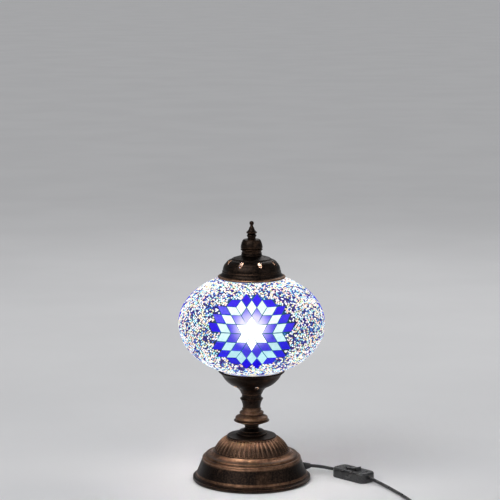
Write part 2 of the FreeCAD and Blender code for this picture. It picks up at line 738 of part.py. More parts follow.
def make_finial():
    top, bell, spire, tall = S.cap_top, S.bell_top, S.spire_bottom, S.spire_top
    bore = S.stud_radius
    turned("finial_bell", [
        (bore, top), (13.6, top), (13.6, top + 2.2, (14.1, top + 1.1)),
        (13.0, top + 2.6), (13.4, top + 4.6, (13.9, top + 3.6)), (13.0, top + 5.0),
        (13.2, top + 7.2), (14.4, top + 8.0), (14.4, top + 9.4, (14.9, top + 8.7)),
        (13.8, top + 9.8), (14.8, top + 11.2), (12.0, bell - 1.4, (14.2, bell - 7.2)),
        (11.0, bell - 0.4), (6.6, bell), (5.4, bell + 1.0), (5.4, spire), (bore, spire),
    ])
    turned("finial_spire", [
        (bore, spire), (6.0, spire), (6.0, spire + 2.6, (6.5, spire + 1.3)), (5.2, spire + 3.2),
        (7.2, spire + 5.2), (7.2, spire + 6.2), (3.4, spire + 11.8, (4.8, spire + 8.4)),
        (2.0, spire + 14.0), (2.0, tall - 5.4),
        (3.0, tall - 3.0, (2.72, tall - 4.27)), (0.5, tall, (2.3, tall - 0.9)), (0, tall),
        (0, spire + 4.6), (bore, spire + 4.6),
    ])
    turned("finial_stud", [
        (0, top - 8.6), (bore, top - 8.6), (bore, spire + 4.6), (0, spire + 4.6),
    ])
    bored_nut("cap_nut", 11.5, top - S.cap_wall - 5, 5, S.stud_radius)


# ------------------------------------------------------------------ the switch


def switch_place():
    turn = Rotation(Vector(0, 0, 1), S.switch_turn.value)
    return Placement(Vector(S.switch_x.value, S.switch_y.value, 0), turn)


def place_switch_part(item):
    item.setExpression("Placement.Base.x", "sizes.switch_x")
    item.setExpression("Placement.Base.y", "sizes.switch_y")
    item.setExpression("Placement.Rotation.Angle", "sizes.switch_turn")


def oblong(half_length, half_width, corner):
    """An outline with rounded corners, centred on the sketch's origin."""
    bulge = 0.2929 * corner.value
    x, y = half_length, half_width
    return [
        (-x, -y + corner), (-x + corner, -y, (-x + bulge, -y + bulge)),
        (x - corner, -y), (x, -y + corner, (x - bulge, -y + bulge)),
        (x, y - corner), (x - corner, y, (x - bulge, y - bulge)),
        (-x + corner, y), (-x, y - corner, (-x + bulge, y - bulge)),
    ]


def cord_channel(body, name):
    """A round way for the cord along the switch, at the height of its seam."""
    channel = new_sketch(body, "YZ_Plane", name)
    draw_circle(channel, 0, S.switch_seam, S.cord_radius)
    through_cut(body, channel, S.switch_half_length + S.switch_half_length + 2)


def switch_half(name, bottom, height, cavity_bottom, cavity_height):
    body = doc.addObject("PartDesign::Body", name)
    outline = new_sketch(body, "XY_Plane", name + "_outline", bottom)
    draw_outline(outline, oblong(S.switch_half_length, S.switch_half_width, S.switch_corner))
    pad(body, outline, height)
    cavity = new_sketch(body, "XY_Plane", name + "_cavity", cavity_bottom)
    draw_outline(cavity, rectangle(15, S.switch_half_width - 4))
    pocket(body, cavity, cavity_height)
    cord_channel(body, name + "_channel")
    screws = new_sketch(body, "XY_Plane", name + "_screws", bottom)
    draw_circle(screws, 21, 8, 1.5)
    draw_circle(screws, -21, -8, 1.5)
    pocket(body, screws, 5.6 if name == "switch_cover" else S.switch_seam)
    return body


def round_edges(body, name, height, radius):
    """Rounds the outline's edges that lie at one height."""
    doc.recompute()
    edges = []
    for number, edge in enumerate(body.Shape.Edges, start=1):
        box = edge.BoundBox
        level = abs(box.ZMin - height) < 1e-4 and box.ZLength < 1e-4
        outer = max(abs(box.YMin), abs(box.YMax), abs(box.XMin), abs(box.XMax)) > 13.9
        if level and outer and not edge.isClosed():
            edges.append(f"Edge{number}")
    last = body.Tip
    fillet = body.newObject("PartDesign::Fillet", name)
    fillet.Base = (last, edges)
    fillet.Radius = radius


def make_switch():
    seam, tall, wall = S.switch_seam, S.switch_height, S.switch_wall
    base = switch_half("switch_base", as_size(0), seam, wall, seam - wall)
    heads = new_sketch(base, "XY_Plane", "switch_base_heads", as_size(0))
    draw_circle(heads, 21, 8, 2.9)
    draw_circle(heads, -21, -8, 2.9)
    pocket(base, heads, 2.2)
    round_edges(base, "switch_base_rounding", 0, 1.2)
    place_switch_part(keep("switch_base", base))

    cover = switch_half("switch_cover", seam, tall - seam, seam, tall - seam - wall)
    window = new_sketch(cover, "XY_Plane", "switch_cover_window", seam)
    clearance = 0.7
    draw_outline(window, rectangle(S.rocker_half_length + clearance, S.rocker_half_width + 0.4))
    pocket(cover, window, tall - seam + 1)
    pin_way = new_sketch(cover, "XZ_Plane", "switch_cover_pin_way")
    draw_circle(pin_way, 0, S.rocker_pivot_z, S.pin_radius)
    through_cut(cover, pin_way, S.pin_length + 4)
    round_edges(cover, "switch_cover_rounding", tall.value, 3.2)
    place_switch_part(keep("switch_cover", cover))

    rocker_outline = [
        (-10.0, 1.4), (-9.2, 0.4), (-4.0, -1.8), (4.0, -1.8), (9.2, 0.4), (10.0, 1.4),
        (9.8, 5.6), (9.2, 6.2), (-9.2, 6.2, (0, 5.0)), (-9.8, 5.6),
    ]
    rocker = doc.addObject("PartDesign::Body", "switch_rocker")
    side = new_sketch(rocker, "XZ_Plane", "switch_rocker_side")
    draw_outline(side, rocker_outline)
    pad(rocker, side, S.rocker_half_width + S.rocker_half_width, midplane=True)
    pivot = new_sketch(rocker, "XZ_Plane", "switch_rocker_pivot")
    draw_circle(pivot, 0, 0, S.pin_radius + 0.05)
    through_cut(rocker, pivot, S.pin_length)
    keep("switch_rocker", rocker)
    tilt = Rotation(Vector(0, 1, 0), -S.rocker_tilt.value)
    at_pivot = Placement(Vector(0, 0, S.rocker_pivot_z.value), Rotation())
    rocker.Placement = switch_place() * at_pivot * Placement(Vector(), tilt)

    bridge = Part.makeBox(9, 4, 0.8, Vector(-4.5, -2, -2.6))
    bridge = bridge.fuse(Part.makeCylinder(1, 0.8, Vector(0, 0, -2.6)))
    bridge.Placement = rocker.Placement
    feature_from("rocker_bridge", bridge.removeSplitter())

    across = Rotation(Vector(0, 0, 1), Vector(0, 1, 0))
    pin_start = Vector(0, -S.pin_length.value / 2, S.rocker_pivot_z.value)
    pin_place = switch_place() * Placement(pin_start, across)
    feature_from("switch_pin", rounds(S.pin_radius.value, S.pin_length.value, pin_place))
    contacts = []
    leads = []
    screws = []
    for side_sign in (-1, 1):
        strip = Part.makeBox(3.4, 5, 3.2, Vector(11.4 * side_sign - 1.7, -2.5, wall.value))
        contacts.append(strip)
        start = 13.2 if side_sign > 0 else -S.switch_half_length.value
        along = Rotation(Vector(0, 0, 1), Vector(1, 0, 0))
        length = S.switch_half_length.value - 13.2
        leads.append(rounds(S.cord_radius.value, length,
                            Placement(Vector(start, 0, seam.value), along)))
        spot = Vector(21 * side_sign, 8 * side_sign, 0.4)
        shank = Part.makeCylinder(1.5, 11.8, spot)
        head = Part.makeCylinder(2.8, 1.6, spot)
        screws.append(shank.fuse(head).removeSplitter())
    for name, solids in (("switch_contacts", contacts), ("switch_lead_ends", leads),
                         ("switch_screws", screws)):
        group = Part.makeCompound([s.transformed(switch_place().toMatrix()) for s in solids])
        feature_from(name, group)


# ----------------------------------------------------------- cord and its plug


def make_cords():
    exit_turn = math.radians(S.cord_exit_turn.value)
    out = Vector(math.cos(exit_turn), math.sin(exit_turn), 0)
    rise = Vector(0, 0, S.cord_exit_z.value)
    lead_in = [
        out * S.relief_end.value + rise, out * 38 + rise - Vector(0, 0, 1), Vector(0, 0, 32),
        Vector(0, 0, S.tube_top.value),
    ]
    cord_piece("cord_lead_in", [tuple(p) for p in lead_in])
    cord_piece("cord_first_run", FIRST_RUN)
    cord_piece("cord_second_run", SECOND_RUN)
    cord_piece("cord_tail", TAIL_RUN)
    coil = turned_body("cord_coil", [
        (S.coil_inner + 2.3, 0), (S.coil_outer - 2.3, 0),
        (S.coil_outer, 2.3, (S.coil_outer - 0.67, 0.67)), (S.coil_outer, S.coil_height - 2.3),
        (S.coil_outer - 2.3, S.coil_height, (S.coil_outer - 0.67, S.coil_height - 0.67)),
        (S.coil_inner + 2.3, S.coil_height),
        (S.coil_inner, S.coil_height - 2.3, (S.coil_inner + 0.67, S.coil_height - 0.67)),
        (S.coil_inner, 2.3),
    ])
    coil.setExpression("Placement.Base.x", "sizes.coil_x")
    coil.setExpression("Placement.Base.y", "sizes.coil_y")
    keep("cord_coil", coil)


def make_plug():
    """A flat two-pin plug lying on the table, its pins away from the cord."""
    flat = Rotation(Vector(0, 0, 1), S.plug_turn.value)
    place = Placement(Vector(S.plug_x.value, S.plug_y.value, 0), flat)
    body = doc.addObject("PartDesign::Body", "plug_body")
    outline = new_sketch(body, "XY_Plane", "plug_body_outline", as_size(0))
    draw_outline(outline, [
        (0, -5.5), (6, -9.5), (20, -17.0, (13, -13.4)), (33, -17.6), (33, 17.6),
        (20, 17.0), (6, 9.5, (13, 13.4)), (0, 5.5),
    ])
    pad(body, outline, S.plug_thickness)
    doc.recompute()
    upright = [f"Edge{n}" for n, e in enumerate(body.Shape.Edges, start=1)
               if abs(e.BoundBox.ZLength) < 1e-4 and e.BoundBox.XMax < 32.9]
    last = body.Tip
    rounding = body.newObject("PartDesign::Fillet", "plug_body_rounding")
    rounding.Base = (last, upright)
    rounding.Radius = 2.0
    body.Placement = place
    keep("plug_body", body)

    relief = turned_body("plug_relief", [(0, 0), (3.0, 0), (5.2, 25), (0, 25)])
    axis = Rotation(Vector(0, 0, 1), Vector(1, 0, 0))
    half = S.plug_thickness.value / 2
    relief.Placement = place * Placement(Vector(-25, 0, half), axis)
    keep("plug_relief", relief)

    pins = []
    for side_sign in (-1, 1):
        shaft = rounds(2.0, 17, Placement(Vector(33, 9.3 * side_sign, half), axis))
        tip = Part.makeSphere(2.0, Vector(50, 9.3 * side_sign, half))
        pins.append(shaft.fuse(tip).removeSplitter())
    group = Part.makeCompound([p.transformed(place.toMatrix()) for p in pins])
    feature_from("plug_pins", group)


def check_and_write():
    doc.recompute()
    for item in doc.Objects:
        if "Invalid" in item.State or "Error" in item.State:
            raise RuntimeError(f"{item.Label} failed: {item.State}")
    os.makedirs("parts", exist_ok=True)
    for item in parts:
        shape = item.Shape
        if shape.isNull() or not shape.isValid() or not shape.Solids:
            raise RuntimeError(f"{item.Label} has no valid solid")
        shape.exportStep(os.path.join("parts", item.Label + ".step"))
    print(len(parts), "nodes written")


make_base()
make_strain_relief()
make_stem()
make_gallery()
make_globe_clips()
make_lampholder()
make_bulb()
make_globe_glass()
make_stars()
make_bead_field()
make_cap()
make_finial()
make_switch()
make_cords()
make_plug()
check_and_write()
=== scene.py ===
import math
import random

import bpy
import numpy as np
from mathutils import Matrix, Vector, noise


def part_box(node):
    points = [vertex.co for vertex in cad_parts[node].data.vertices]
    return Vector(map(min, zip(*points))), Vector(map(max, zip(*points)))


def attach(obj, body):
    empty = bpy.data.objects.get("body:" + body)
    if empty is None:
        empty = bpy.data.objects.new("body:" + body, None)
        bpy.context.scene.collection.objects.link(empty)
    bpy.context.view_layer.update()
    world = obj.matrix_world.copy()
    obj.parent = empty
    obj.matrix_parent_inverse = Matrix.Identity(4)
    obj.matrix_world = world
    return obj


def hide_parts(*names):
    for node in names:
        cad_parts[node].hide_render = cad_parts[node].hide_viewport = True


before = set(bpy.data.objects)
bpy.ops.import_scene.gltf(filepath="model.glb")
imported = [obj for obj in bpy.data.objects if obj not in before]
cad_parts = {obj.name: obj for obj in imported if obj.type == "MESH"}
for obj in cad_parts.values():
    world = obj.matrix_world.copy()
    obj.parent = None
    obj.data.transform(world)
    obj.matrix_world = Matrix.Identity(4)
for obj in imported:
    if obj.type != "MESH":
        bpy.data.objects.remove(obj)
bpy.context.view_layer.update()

# A table lamp with a mosaic glass globe, lit from inside. Metres, +Z up, and -Y is the
# front, where one star faces.

MM = 0.001

# ---------------------------------------------------------------- camera and stage


def make_camera():
    """A long lens in front of the lamp, looking down a little."""
    lens = bpy.data.cameras.new("camera")
    lens.sensor_width = 36.0
    lens.lens = 143.3
    lens.clip_end = 50.0
    camera = bpy.data.objects.new("camera", lens)
    bpy.context.collection.objects.link(camera)
    camera.location = (-0.0022, -2.640, 0.7173)
    camera.rotation_euler = (math.radians(81.35), 0, 0)
    bpy.context.scene.camera = camera


make_camera()

# ---------------------------------------------------------------- cords

CORD_RADIUS = 2.3 * MM
CORD_EXIT = (0.0808, 0.0294, 0.0105)
SWITCH_EXIT = (0.1598, -0.0226, 0.0070)
FIRST_RUN = [
    CORD_EXIT, (0.0942, 0.0343, 0.0082), (0.1083, 0.0309, 0.0062), (0.1182, 0.0206, 0.0070),
]
SECOND_RUN = [
    SWITCH_EXIT, (0.1695, -0.0327, 0.0044), (0.1820, -0.0520, 0.0025), (0.1936, -0.0800, 0.0024),
    (0.2038, -0.1080, 0.0025), (0.2114, -0.1340, 0.0024), (0.2159, -0.1600, 0.0025),
]
TAIL_RUN = [(0.1660, -0.2254, 0.0060), (0.1520, -0.2266, 0.0062), (0.1375, -0.2286, 0.0068)]
COIL_CENTRE = (0.1802, -0.1877)
COIL_OUTER, COIL_INNER = 0.0377, 0.0183
COIL_LAYERS = (0.00235, 0.00695)
COIL_START, COIL_TURNS = 4.6, 8.263


COIL_POINTS_PER_TURN = 16
COIL_CLIMB_TURNS = 0.3  # how much of a turn the cord takes to climb to the upper layer


def coil_points():
    """Two flat layers of turns: in towards the middle on the table, then out on top."""
    count = round(COIL_POINTS_PER_TURN * COIL_TURNS)
    low, high = COIL_LAYERS
    points = []
    for n in range(count + 1):
        share = n / count
        angle = math.radians(COIL_START - 360 * COIL_TURNS * share)
        inward = 1 - abs(2 * share - 1)
        radius = COIL_OUTER + (COIL_INNER - COIL_OUTER) * inward
        climb = min(1, max(0, (share - 0.5) * COIL_TURNS / COIL_CLIMB_TURNS + 0.5))
        points.append((
            COIL_CENTRE[0] + radius * math.cos(angle), COIL_CENTRE[1] + radius * math.sin(angle),
            low + (high - low) * climb,
        ))
    return points


def cord_curve(name, points):
    """A smooth round cord with these as its control points."""
    curve = bpy.data.curves.new(name, "CURVE")
    curve.dimensions = "3D"
    curve.bevel_depth = 1.0  # times each point's radius, which the curve's own box takes in
    curve.bevel_resolution = 5
    curve.use_fill_caps = True
    spline = curve.splines.new("NURBS")
    spline.points.add(len(points) - 1)
    for point, place in zip(spline.points, points):
        point.co = (*place, 1)
        point.radius = CORD_RADIUS
    spline.order_u = 3
    spline.use_endpoint_u = True
    spline.resolution_u = 6
    piece = bpy.data.objects.new(name, curve)
    bpy.context.collection.objects.link(piece)
    return piece


cord_to_switch = cord_curve("cord_to_switch", FIRST_RUN)
cord_to_plug = cord_curve("cord_to_plug", SECOND_RUN + coil_points() + TAIL_RUN)
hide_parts("cord_first_run")
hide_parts("cord_second_run", "cord_coil", "cord_tail")
for piece in (cord_to_switch, cord_to_plug):
    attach(piece, "stand")

# ---------------------------------------------------------------- materials


class Look:
    """A node material being put together. Object coordinates are the row frame's, at rest."""

    def __init__(self, name, **values):
        self.material = bpy.data.materials.new(name)
        self.material.use_nodes = True
        self.tree = self.material.node_tree
        self.shader = self.tree.nodes["Principled BSDF"]
        for socket, value in values.items():
            self.feed(self.shader.inputs[socket.replace("_", " ")], value)
        self.place = self.tree.nodes.new("ShaderNodeTexCoord").outputs["Object"]

    def feed(self, socket, value):
        """Link or set one input; a colour may be given without its alpha."""
        if isinstance(value, bpy.types.NodeSocket):
            self.tree.links.new(value, socket)
        elif getattr(socket, "type", "") == "RGBA" and len(value) == 3:
            socket.default_value = (*value, 1)
        else:
            socket.default_value = value

    def node(self, kind, inputs, **settings):
        """A new shader node with its inputs fed and its settings set."""
        node = self.tree.nodes.new("ShaderNode" + kind)
        for key, value in settings.items():
            setattr(node, key, value)
        for socket, value in inputs.items():
            self.feed(node.inputs[socket], value)
        return node

    def stretched(self, scale):
        """The object coordinates scaled differently along each axis."""
        return self.node("Mapping", {"Vector": self.place, "Scale": scale}).outputs["Vector"]

    def noise(self, scale, detail=3.0, roughness=0.55, place=None):
        """Soft noise with so many spots per metre."""
        inputs = {
            "Vector": place or self.place, "Scale": scale, "Detail": detail, "Roughness": roughness,
        }
        return self.node("TexNoise", inputs).outputs["Fac"]

    def ramp(self, factor, low, high, start=0.0, end=1.0):
        """factor's range low to high, eased to start to end."""
        inputs = {"Value": factor, "From Min": low, "From Max": high, "To Min": start, "To Max": end}
        return self.node("MapRange", inputs, interpolation_type="SMOOTHSTEP").outputs["Result"]

    def math(self, operation, a, b):
        """One arithmetic step on two numbers or sockets."""
        return self.node("Math", {0: a, 1: b}, operation=operation).outputs[0]

    def mix(self, factor, a, b, blend="MIX"):
        """Colour a blended with colour b by the factor."""
        node = self.tree.nodes.new("ShaderNodeMix")
        node.data_type = "RGBA"
        node.blend_type = blend
        # The Mix node's sockets by number, because its colour ones share names with others.
        for index, value in ((0, factor), (6, a), (7, b)):
            self.feed(node.inputs[index], value)
        return node.outputs[2]

    def grey(self, level):
        """The same level in red, green and blue."""
        return self.node("CombineColor", {"Red": level, "Green": level, "Blue": level}).outputs["Color"]

    def height(self):
        """How high a point is above the floor, at rest."""
        return self.node("SeparateXYZ", {"Vector": self.place}).outputs["Z"]

    def per_piece(self):
        """A random number from 0 to 1 for each tile or bead."""
        return self.node("NewGeometry", {}).outputs["Random Per Island"]

    def glow(self, colour, strength):
        """Light of this colour and strength given off."""
        self.set("Emission Color", colour)
        self.shader.inputs["Emission Strength"].default_value = strength

    def bump(self, height, distance, strength=1.0):
        """The surface raised by height times distance, in metres."""
        inputs = {"Height": height, "Distance": distance, "Strength": strength}
        self.feed(self.shader.inputs["Normal"], self.node("Bump", inputs).outputs["Normal"])

    def set(self, socket, value):
        """Feed one input of the surface shader."""
        self.feed(self.shader.inputs[socket], value)


def antique_bronze(name, rub=0.5, bands=(), crests=None):
    """Cast metal browned almost to black, with copper showing where it is rubbed, copper
    painted on as highlight, and painted shade in its hollows.

    bands are (lowest, highest, share) of the rings with copper all round, partly rubbed and
    partly painted highlight of the globe's light on them, and crests the heights from none to
    all of the painted highlight on what stands proud of its neighbours, for the globe's light
    falling on the upper crests.
    """
    look = Look(name, Metallic=1.0, Specular_IOR_Level=0.5)
    cloud = look.noise(38, 5, 0.6)
    grain = look.noise(420, 4, 0.6)
    rounded = look.node("Bevel", {"Radius": 1.1 * MM}, samples=6).outputs["Normal"]
    flat = look.node("NewGeometry", {}).outputs["Normal"]
    turn = look.node("VectorMath", {0: rounded, 1: flat}, operation="DOT_PRODUCT").outputs["Value"]
    edge = look.ramp(turn, 0.997, 0.90)
    open_air = look.node("AmbientOcclusion", {"Distance": 5 * MM}, samples=6).outputs["AO"]
    copper_wear_and_highlight = look.math("MULTIPLY", edge, look.ramp(open_air, 0.45, 0.85))
    copper_wear_and_highlight = look.math("MULTIPLY", copper_wear_and_highlight, look.ramp(cloud, 0.30, 0.62, 0.35, 1.0))
    copper_wear_and_highlight = look.math("MULTIPLY", copper_wear_and_highlight, rub)
    worn = look.math("MULTIPLY", look.ramp(cloud, 0.52, 0.80), 0.16)
    copper_wear_and_highlight = look.math("MAXIMUM", copper_wear_and_highlight, worn)
    height = look.height()
    patchy = look.ramp(look.noise(70, 4), 0.32, 0.62, 0.35, 1.0)
    # Copper all round these rings: partly rubbed metal, partly painted highlight where the globe's light
    # catches them.
    for low, high, share in bands:
        soft = 0.25 * (high - low)
        above = look.ramp(height, low - soft, low + soft)
        below = look.ramp(height, high + soft, high - soft)
        inside = look.math("MULTIPLY", above, below)
        band = look.math("MULTIPLY", look.math("MULTIPLY", inside, patchy), share)
        reached = look.math("MULTIPLY", band, look.ramp(open_air, 0.35, 0.8))
        copper_wear_and_highlight = look.math("MAXIMUM", copper_wear_and_highlight, reached)
    # Painted highlight: copper on the crests of the flutes, more of it higher up, for the globe's light
    # falling on the upper dome.
    if crests:
        crest_highlight = look.ramp(open_air, 0.60, 0.88)
        crest_highlight = look.math("MULTIPLY", crest_highlight, look.ramp(height, *crests, 0.1, 0.9))
        copper_wear_and_highlight = look.math("MAXIMUM", copper_wear_and_highlight, look.math("MULTIPLY", crest_highlight, patchy))
    brown = look.mix(look.ramp(grain, 0.35, 0.7), (0.012, 0.009, 0.008), (0.034, 0.022, 0.016))
    copper = look.mix(look.ramp(grain, 0.3, 0.75), (0.34, 0.17, 0.095), (0.50, 0.28, 0.17))
    # The copper is rubbed wear together with the painted highlights of the bands and crests.
    colour = look.mix(copper_wear_and_highlight, brown, copper)
    # Painted shade: the base colour darkened in the hollows and creases that ambient occlusion finds.
    painted_crease_shade = look.ramp(open_air, 0.25, 0.75, 0.35, 1.0)
    look.set("Base Color", look.mix(1.0, colour, look.grey(painted_crease_shade), "MULTIPLY"))
    roughness = look.ramp(cloud, 0.3, 0.7, 0.34, 0.50)
    roughness = look.math("ADD", roughness, look.ramp(grain, 0.3, 0.7, -0.05, 0.07))
    look.set("Roughness", look.math("SUBTRACT", roughness, look.math("MULTIPLY", copper_wear_and_highlight, 0.10)))
    dents = look.math("ADD", look.math("MULTIPLY", cloud, 0.7), look.math("MULTIPLY", grain, 0.3))
    look.bump(dents, 0.35 * MM, 0.55)
    return look.material


def bright_metal(name, colour, tarnish, roughness=0.3, scratches=900):
    """Plated or bare metal: fine turned lines and a dulled film."""
    look = Look(name, Metallic=1.0)
    film = look.noise(120, 4)
    lines = look.noise(scratches, 2, 0.5, look.stretched((0.12, 0.12, 3.0)))
    look.set("Base Color", look.mix(look.ramp(film, 0.35, 0.72), colour, tarnish))
    uneven = look.math("ADD", film, lines)
    look.set("Roughness", look.ramp(uneven, 0.6, 1.4, roughness - 0.08, roughness + 0.18))
    look.bump(lines, 0.05 * MM, 0.4)
    return look.material


DUST = 0.09  # the grey of dust on black plastic


def moulded(name, colour, roughness, speckle=0.4, coat=0.0):
    """Moulded plastic or rubber: a faint orange-peel skin and a little dust."""
    look = Look(name, Coat_Weight=coat, Coat_Roughness=0.12)
    skin = look.noise(1100, 3, 0.6)
    wipe = look.noise(75, 6, 0.7)
    dusty = tuple(0.72 * c + 0.28 * DUST for c in colour)
    look.set("Base Color", look.mix(look.ramp(wipe, 0.40, 0.75, 0.0, speckle), colour, dusty))
    look.set("Roughness", look.ramp(wipe, 0.3, 0.7, roughness, roughness + 0.20))
    look.bump(skin, 0.07 * MM, 0.5)
    return look.material


def felt(name):
    """Dark green felt with its fibres standing up."""
    look = Look(name, Roughness=0.95, Sheen_Weight=0.4, Sheen_Roughness=0.6)
    fibre = look.noise(1800, 4, 0.7)
    green = look.mix(look.ramp(fibre, 0.3, 0.7), (0.012, 0.022, 0.016), (0.035, 0.055, 0.040))
    look.set("Base Color", green)
    look.bump(fibre, 0.3 * MM, 0.9)
    return look.material


def rough_iron(name):
    """Cast iron as it left the mould, with a little rust."""
    look = Look(name, Metallic=0.7)
    scale = look.noise(160, 6, 0.7)
    rust = look.mix(look.ramp(scale, 0.35, 0.7), (0.03, 0.03, 0.032), (0.11, 0.075, 0.055))
    look.set("Base Color", rust)
    look.set("Roughness", look.ramp(scale, 0.3, 0.7, 0.55, 0.8))
    look.bump(scale, 0.5 * MM, 0.8)
    return look.material


def lamp_glass(name):
    """The bulb's own glass, glowing warm."""
    look = Look(name, Transmission_Weight=0.9, IOR=1.45)
    drawn = look.noise(60, 2)
    clear = look.mix(look.ramp(drawn, 0.3, 0.7), (1.0, 0.97, 0.92), (0.97, 0.95, 0.93))
    look.set("Base Color", clear)
    look.set("Roughness", look.ramp(drawn, 0.3, 0.7, 0.04, 0.10))
    look.glow(look.mix(look.ramp(drawn, 0.3, 0.7), (1.0, 0.86, 0.66), (1.0, 0.90, 0.74)), 1.3)
    return look.material


def glowing_filament(name):
    """White-hot wire."""
    look = Look(name, Roughness=0.6, Base_Color=(0.9, 0.7, 0.3))
    dots = look.noise(700, 1)
    look.glow(look.mix(look.ramp(dots, 0.4, 0.6), (1.0, 0.78, 0.45), (1.0, 0.92, 0.75)), 18.0)
    return look.material


# ---------------------------------------------------------------- the globe's shape

GLASS_RADIUS, GLASS_HALF_HEIGHT, GLOBE_Z = 0.0965, 0.0675, 0.2155
MOSAIC = 2.5 * MM  # how far the mosaic stands out from the glass
GROUT_BOTTOM, GROUT_TOP = 0.1 * MM, 1.3 * MM
BEAD_MARGIN = 0.0444  # the radius at which the beads stop, by the cap and by the dish
STAR_Z = 0.220
STAR_FACINGS = [math.radians(-90 + 120 * n) for n in range(3)]
TILE_EDGE, TILE_GAP, TILE_BED = 13.4 * MM, 0.8 * MM, 0.3 * MM
TILE_THICKNESS, TILE_BEVEL = 2.2 * MM, 0.45 * MM


def meridian_step(angle):
    """How far a point moves along the meridian per unit of the angle."""
    return math.hypot(GLASS_RADIUS * math.sin(angle), GLASS_HALF_HEIGHT * math.cos(angle))


def globe_point(longitude, angle):
    """A point on the glass's outside and the outward normal there."""
    r, z = GLASS_RADIUS * math.cos(angle), GLASS_HALF_HEIGHT * math.sin(angle)
    x, y = r * math.cos(longitude), r * math.sin(longitude)
    slope = Vector((x, y, z * (GLASS_RADIUS / GLASS_HALF_HEIGHT) ** 2))
    return Vector((x, y, GLOBE_Z + z)), slope.normalized()


STAR_ANGLE = math.asin((STAR_Z - GLOBE_Z) / GLASS_HALF_HEIGHT)


def laid_on_globe(u, v, facing):
    """The place on the glass of a point (u, v) of the flat star pattern."""
    angle = STAR_ANGLE
    steps = 40
    for _ in range(steps):
        angle += v / steps / meridian_step(angle)
    return globe_point(facing + u / (GLASS_RADIUS * math.cos(angle)), angle)


# The angle at even steps, with the distance along the meridian and the area so far.
LIMIT = math.acos(BEAD_MARGIN / (GLASS_RADIUS + MOSAIC))
ANGLES = np.linspace(-LIMIT, LIMIT, 801)
STEPS = np.array([meridian_step(a) for a in ANGLES]) * (ANGLES[1] - ANGLES[0])
ALONG = np.cumsum(STEPS)
ALONG -= np.interp(STAR_ANGLE, ANGLES, ALONG)
AREA = np.cumsum(STEPS * np.cos(ANGLES)) * 2 * math.pi * GLASS_RADIUS


def ring_faces(here, following, sides):
    """The quads between two rings of vertices, from the first vertex of each."""
    return [
        (here + n, here + (n + 1) % sides, following + (n + 1) % sides, following + n)
        for n in range(sides)
    ]


def mesh_piece(name, vertices, faces, body, material, replaced, smooth=True):
    """A new mesh that rides on a CAD body and stands for CAD nodes."""
    mesh = bpy.data.meshes.new(name)
    mesh.from_pydata(vertices, [], faces)
    mesh.polygons.foreach_set("use_smooth", [smooth] * len(mesh.polygons))
    mesh.materials.append(material)
    mesh.update()
    piece = bpy.data.objects.new(name, mesh)
    bpy.context.collection.objects.link(piece)
    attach(piece, body)
    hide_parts(*replaced)
    return piece


# ---------------------------------------------------------------- star tiles


def lattice(k, i, j):
    """A corner of the rhombic lattice: i edges along spoke k, j along the next."""
    here, following = math.radians(60 * k), math.radians(60 * (k + 1))
    return (
        TILE_EDGE * (i * math.cos(here) + j * math.cos(following)),
        TILE_EDGE * (i * math.sin(here) + j * math.sin(following)),
    )


def rhombus(k, i, j):
    """The corners of one cell of the lattice."""
    return [lattice(k, i, j), lattice(k, i + 1, j), lattice(k, i + 1, j + 1), lattice(k, i, j + 1)]


def star_tiles():
    """The star's rhombic tiles by colour, from the middle outwards."""
    colours = {"clear": [], "mid_blue": [], "pale": [], "deep_blue": []}
    for k in range(6):
        colours["clear"].append(rhombus(k, 0, 0))
        colours["mid_blue"] += [rhombus(k, 1, 0), rhombus(k, 0, 1)]
        colours["pale"] += [rhombus(k, 2, 0), rhombus(k, 1, 1), rhombus(k, 0, 2)]
        colours["deep_blue"] += [rhombus(k, 2, 1), rhombus(k, 1, 2)]
    colours["deep_blue"] += [rhombus(0, 3, 0), rhombus(2, 0, 3)]
    for k in (1, 2, 4, 5):
        colours["deep_blue"].append([
            lattice(k, 3, 0), lattice(k, 3, 1), lattice(k, 4, 0), lattice(k - 1, 1, 3),
        ])
    return colours


def star_outline():
    """The star's corners in order round its edge."""
    corners = []
    for k in range(6):
        if k == 0:
            corners += [lattice(0, 3, 0), lattice(0, 4, 0), lattice(0, 4, 1)]
        elif k == 3:
            corners += [lattice(2, 1, 4), lattice(2, 0, 4), lattice(2, 0, 3)]
        else:
            corners.append(lattice(k, 4, 0))
        corners += [lattice(k, i, j) for i, j in ((3, 1), (3, 2), (2, 2), (2, 3), (1, 3))]
    return corners


def middle_of(corners):
    """The mean of a flat shape's corners."""
    return sum(x for x, _ in corners) / len(corners), sum(y for _, y in corners) / len(corners)


def scaled(corners, share):
    """A flat shape made larger or smaller about its middle."""
    cx, cy = middle_of(corners)
    return [(cx + (x - cx) * share, cy + (y - cy) * share) for x, y in corners]


TILE_UNEVEN = 0.2  # mm, how far a corner may be off, each way
TILE_THINNER = 0.3  # mm, how much thinner than the rest a tile may be


def cut_tile(corners, facing, rng):
    """A hand-cut piece of sheet glass: closed, with its upper edges ground off."""
    inradius = TILE_EDGE * math.sin(math.radians(60)) / 2
    corners = scaled(corners, 1 - TILE_GAP / 2 / inradius)
    off = TILE_UNEVEN
    corners = [(x + rng.uniform(-off, off) * MM, y + rng.uniform(-off, off) * MM) for x, y in corners]
    middle, out = laid_on_globe(*middle_of(corners), facing)
    thickness = TILE_THICKNESS - rng.uniform(0, TILE_THINNER) * MM
    rings = [(1.0, 0), (1.0, thickness - TILE_BEVEL), (1 - TILE_BEVEL / inradius, thickness)]
    vertices = []
    for share, height in rings:
        for x, y in scaled(corners, share):
            place, _ = laid_on_globe(x, y, facing)
            vertices.append(place - out * (place - middle).dot(out) + out * (TILE_BED + height))
    n = len(corners)
    faces = [tuple(reversed(range(n))), tuple(range(2 * n, 3 * n))]
    for ring in (0, n):
        faces += ring_faces(ring, ring + n, n)
    return vertices, faces


